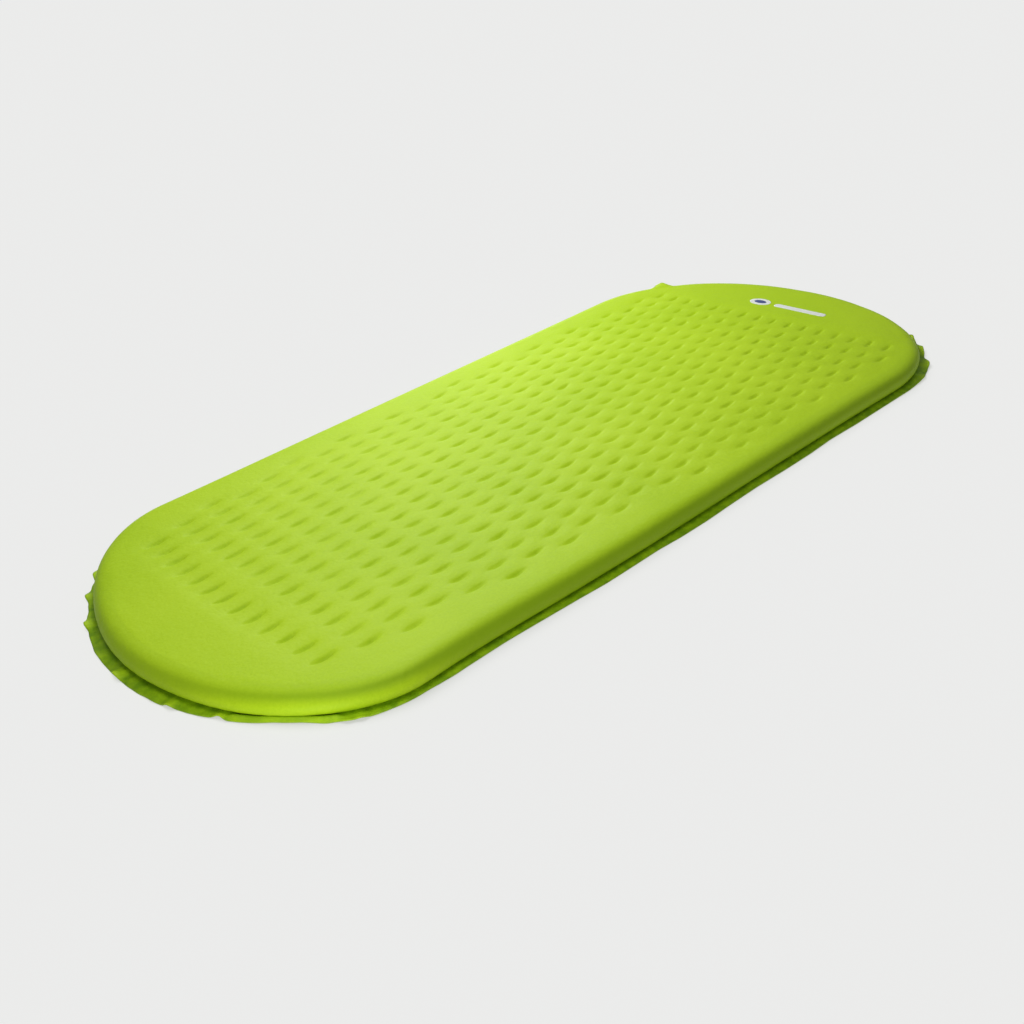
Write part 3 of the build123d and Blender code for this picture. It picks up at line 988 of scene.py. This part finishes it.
def closed_shell(upper, lower):
    """Points and faces of a sheet with thickness, from the rings of its two faces."""
    n, around = upper.shape[:2]
    points = np.vstack([upper.reshape(-1, 3), lower.reshape(-1, 3)])
    faces = np.vstack([
        grid_faces(n, around, closed=True),
        grid_faces(n, around, first=n * around, closed=True, flip=True),
        rim_faces(0, n * around, around),
    ])
    return points, faces


def painted_shoulder_shade(outer, s):
    """How much painted shade darkens the cloth at each point of the wall and the shoulder."""
    amount, deepest, above, below = (along_edge(s, SHADE, column) for column in (1, 2, 3, 4))
    rise = outer[..., 2] - deepest
    spread = np.maximum(np.where(rise > 0, above, below), 1.0)
    tone = amount * np.exp(-((rise / spread) ** 2))
    tone[:FLANGE_RINGS] = 0.0
    tone[WALL_RINGS:] *= np.exp(-((np.arange(len(outer) - WALL_RINGS) / 2.0) ** 2))[:, None]
    return tone


def build_top_cover(material):
    """The top cover, blown up between the slots and sunk into them. Returns its outer rings too."""
    outer, weld, s = cover_rings()
    x, y = outer[WALL_RINGS:, :, 0], outer[WALL_RINGS:, :, 1]
    sink = dimples(x.ravel(), y.ravel()).reshape(x.shape)
    outer = outer + inflate(outer, AIR_CAP)
    outer[WALL_RINGS:, :, 2] -= sink
    inner = outer - COVER_GAUGE * face_normals_grid(outer)
    inner[:FLANGE_RINGS] = outer[:FLANGE_RINGS] - [0, 0, COVER_GAUGE]
    inner[FLANGE_RINGS, :, 2] = outer[FLANGE_RINGS, :, 2] - COVER_GAUGE
    points, faces = closed_shell(outer, inner)
    # the weld mask with the flange's painted shade and painted highlights, and the painted shade on the
    # wall under the shoulder
    tones = {"weld": weld, "shoulder": painted_shoulder_shade(outer, s)}
    tones = {tone: np.tile(values.ravel(), 2) for tone, values in tones.items()}
    return make_piece("top_cover_fabric", points, faces, material, **tones), outer


BOTTOM_STEPS = 12


def build_bottom_cover(outer, material):
    """The bottom cover: flat on the ground, its margin welded under the top cover's flange."""
    under = outer[: FLANGE_RINGS + 1] - [0, 0, COVER_GAUGE + 0.02]
    lower = under - [0, 0, COVER_GAUGE]
    lower[..., 2] = np.maximum(lower[..., 2], 0.0)
    under[..., 2] = np.maximum(under[..., 2], lower[..., 2] + 0.35)
    upper_rings, lower_rings = list(under), list(lower)
    root, spine = under[-1], outer[-1]
    for k in range(1, BOTTOM_STEPS + 1):
        flat = root[:, :2] + (spine[:, :2] - root[:, :2]) * (k / BOTTOM_STEPS) ** 1.3
        z = COVER_GAUGE + (root[:, 2] - COVER_GAUGE) * np.exp(-k / 0.6)
        upper_rings.append(np.column_stack([flat, z]))
        lower_rings.append(np.column_stack([flat, np.maximum(z - COVER_GAUGE, 0.0)]))
    points, faces = closed_shell(np.array(upper_rings), np.array(lower_rings))
    pressed = np.zeros(np.array(upper_rings).shape[:2])
    pressed[: FLANGE_RINGS + 1] = 1.0
    return make_piece("bottom_cover_fabric", points, faces, material, weld=np.tile(pressed.ravel(), 2))


# ---------------------------------------------------------------- print
PRINT_X = 499.0
PRINT_GAUGE = 0.2
# the rings of a print from its rim to its middle: (share of the outline, height in gauges)
PRINT_RINGS = [(1.0, -0.15), (1.0, 0.6), (0.97, 1.0)]
PRINT_RINGS += [(share, 1.0) for share in (0.85, 0.65, 0.45, 0.25, 0.08)]


def surface_height(outer):
    """A lookup of the top cover's height at a point near the head end's middle."""
    pts = outer[WALL_RINGS:].reshape(-1, 3)
    keep = (np.abs(pts[:, 0] - PRINT_X) < 40) & (np.abs(pts[:, 1]) < 90)
    pts = pts[keep]

    def height(x, y):
        gap = (pts[:, 0] - x) ** 2 + (pts[:, 1] - y) ** 2
        near = np.argsort(gap)[:6]
        weight = 1 / (gap[near] + 0.5)
        return float((pts[near, 2] * weight).sum() / weight.sum())

    return height


def draped_shape(name, outline, height, lift, material):
    """A thin print that lies on the cover, from its outline: a fan of rings with a rounded rim."""
    outline = np.array(outline)
    middle = outline.mean(axis=0)
    rings = []
    for share, rise in PRINT_RINGS:
        flat = middle + (outline - middle) * share
        z = np.array([height(px, py) for px, py in flat]) + lift + PRINT_GAUGE * rise
        rings.append(np.column_stack([flat, z]))
    rings = np.array(rings)
    around = rings.shape[1]
    faces = [tuple(f) for f in grid_faces(len(rings), around).tolist()]
    last = (len(rings) - 1) * around
    faces.append(tuple(range(last, last + around)))
    faces.append(tuple(range(around))[::-1])
    return make_piece(name, rings.reshape(-1, 3), faces, material)


def ellipse_outline(x, y, a, b, count=72):
    turn = np.linspace(0, 2 * np.pi, count, endpoint=False)
    return np.column_stack([x + a * np.cos(turn), y + b * np.sin(turn)])


def slot_outline(x, y, length, width, count=20):
    """A bar with round ends, long across the pad."""
    r = width / 2
    turn = np.linspace(0, np.pi, count)
    upper = np.column_stack([x + r * np.cos(turn), y + length / 2 - r + r * np.sin(turn)])
    lower = np.column_stack([x - r * np.cos(turn), y - length / 2 + r - r * np.sin(turn)])
    return np.vstack([upper, lower])


# ---------------------------------------------------------------- foam core
FOAM_GAP = 2.8
FOAM_BOTTOM = 0.9
FOAM_TOP = TOP - 3.2
FOAM_STEPS = 8
FOAM_ROUNDNESS = 0.8
LENS_POINTS = 12
LENS_POINTEDNESS = 1.6


def foam_outline(inset):
    edge, normal, _, _, _ = edge_stations()
    return (edge - normal * inset)[::3]


def build_foam(material):
    """The slotted foam slab: two faces with lens-shaped holes, joined by the slots' walls."""
    ring = foam_outline(SHOULDER_INSET)
    points, edges, holes = list(map(tuple, ring)), [], []
    count = len(ring)
    edges += [(i, (i + 1) % count) for i in range(count)]
    lens_turn = np.linspace(0, 2 * np.pi, LENS_POINTS, endpoint=False)
    for cx, cy, _ in SLOTS:
        first = len(points)
        for a in lens_turn:
            px = cx + SLOT_LENGTH / 2 * np.cos(a)
            py = cy + SLOT_WIDTH / 2 * np.sign(np.sin(a)) * np.abs(np.sin(a)) ** LENS_POINTEDNESS
            points.append((px, py))
        loop = list(range(first, len(points)))
        edges += list(zip(loop, loop[1:] + loop[:1]))
        holes.append(loop)
    result = delaunay_2d_cdt([Vector(p) for p in points], edges, [], 1, 1e-5)
    flat = np.array([tuple(p) for p in result[0]])
    inside = []
    centers = np.array([(cx, cy) for cx, cy, _ in SLOTS])
    for face in result[2]:
        c = flat[list(face)].mean(axis=0)
        d = np.abs(centers - c)
        gap = (d[:, 0] / (SLOT_LENGTH / 2)) ** 2 + (d[:, 1] / (SLOT_WIDTH / 2)) ** 2
        if gap.min() < 1 and all(i in holes[int(gap.argmin())] for i in face):
            continue
        inside.append(tuple(face))
    n = len(flat)
    top = np.column_stack([flat, np.full(n, FOAM_TOP)])
    bottom = np.column_stack([flat, np.full(n, FOAM_BOTTOM)])
    all_points = [top, bottom]
    faces = inside + [tuple(n + i for i in f[::-1]) for f in inside]
    for hole in holes:
        for a, b in zip(hole, hole[1:] + hole[:1]):
            faces.append((a, b, n + b, n + a))
    # the slab's rounded edge, inside the covers
    wall = []
    for k in range(1, FOAM_STEPS + 1):
        turn = 0.5 * np.pi * (1 - k / FOAM_STEPS)
        inset = FOAM_GAP + SHOULDER_INSET * (1 - np.cos(turn) ** FOAM_ROUNDNESS)
        z = BULGE_Z + (FOAM_TOP - BULGE_Z) * np.sin(turn) ** FOAM_ROUNDNESS
        wall.append(np.column_stack([foam_outline(inset), np.full(count, z)]))
    for k in range(1, FOAM_STEPS):
        turn = -0.5 * np.pi * k / FOAM_STEPS
        inset = FOAM_GAP + (TUCK_INSET + FOAM_GAP + 2.0) * (1 - np.cos(turn))
        z = BULGE_Z + (BULGE_Z - FOAM_BOTTOM) * np.sin(turn)
        wall.append(np.column_stack([foam_outline(inset), np.full(count, z)]))
    first = 2 * n
    all_points += wall
    rows = [list(range(count))]
    for k in range(len(wall)):
        rows.append(list(range(first + k * count, first + (k + 1) * count)))
    rows.append([n + i for i in range(count)])
    for upper, lower in zip(rows, rows[1:]):
        for i in range(count):
            j = (i + 1) % count
            faces.append((upper[j], upper[i], lower[i], lower[j]))
    return make_piece("foam_slab", np.vstack(all_points), faces, material, smooth=False)


# ---------------------------------------------------------------- build
add_camera()
add_stage()

top, outer = build_top_cover(cover_material())
bottom = build_bottom_cover(outer, base_material())
foam = build_foam(foam_material())

height = surface_height(outer)
light_print = print_material("print_light", (0.80, 0.83, 0.80), (0.52, 0.68, 0.16))
dark_print = print_material("print_dark", (0.045, 0.070, 0.235), (0.20, 0.30, 0.20))
# the marks at the head end, a bar and an oval with a dark spot: (name, outline, lift, material)
PRINTS = [
    ("print_bar_film", slot_outline(PRINT_X, -22.0, 87.0, 12.0), 0.02, light_print),
    ("print_panel_film", ellipse_outline(PRINT_X, 47.0, 12.5, 17.0), 0.02, light_print),
    ("print_spot_film", ellipse_outline(PRINT_X, 47.0, 6.0, 10.0), 0.12, dark_print),
]
bar, panel, spot = [
    draped_shape(name, outline, height, lift, material) for name, outline, lift, material in PRINTS
]

for piece, stands_for, slot_name in (
    (top, ("top_cover", "top_bond_film"), "cover_fabric"),
    (bottom, ("bottom_cover", "bottom_bond_film"), "base_fabric"),
    (foam, ("foam_core",), "foam"),
    (bar, ("print_bar",), "print_light"),
    (panel, ("print_panel",), "print_light"),
    (spot, ("print_spot",), "print_dark"),
):
    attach(piece, "mat")
    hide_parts(*stands_for)

finishes = {
    "valve_body": plastic_material("valve_plastic", (0.035, 0.037, 0.040), 0.42),
    "valve_knob": plastic_material("knob_plastic", (0.27, 0.39, 0.035), 0.38, 0.8),
    "valve_filter": mesh_material("filter_mesh", (0.35, 0.35, 0.33)),
    "retaining_ring": plastic_material("ring_plastic", (0.75, 0.75, 0.72), 0.35),
    "spigot_seal": plastic_material("seal_rubber", (0.02, 0.02, 0.02), 0.6),
}
finishes["knob_gasket"] = finishes["spigot_seal"]
for node, material in finishes.items():
    carried = frame["nodes"][node]
    carried.data.materials.clear()
    carried.data.materials.append(material)

for piece in bpy.context.scene.objects:
    if piece.type == "MESH" and piece.name != "studio_floor":
        bpy.data.collections["object"].objects.link(piece)
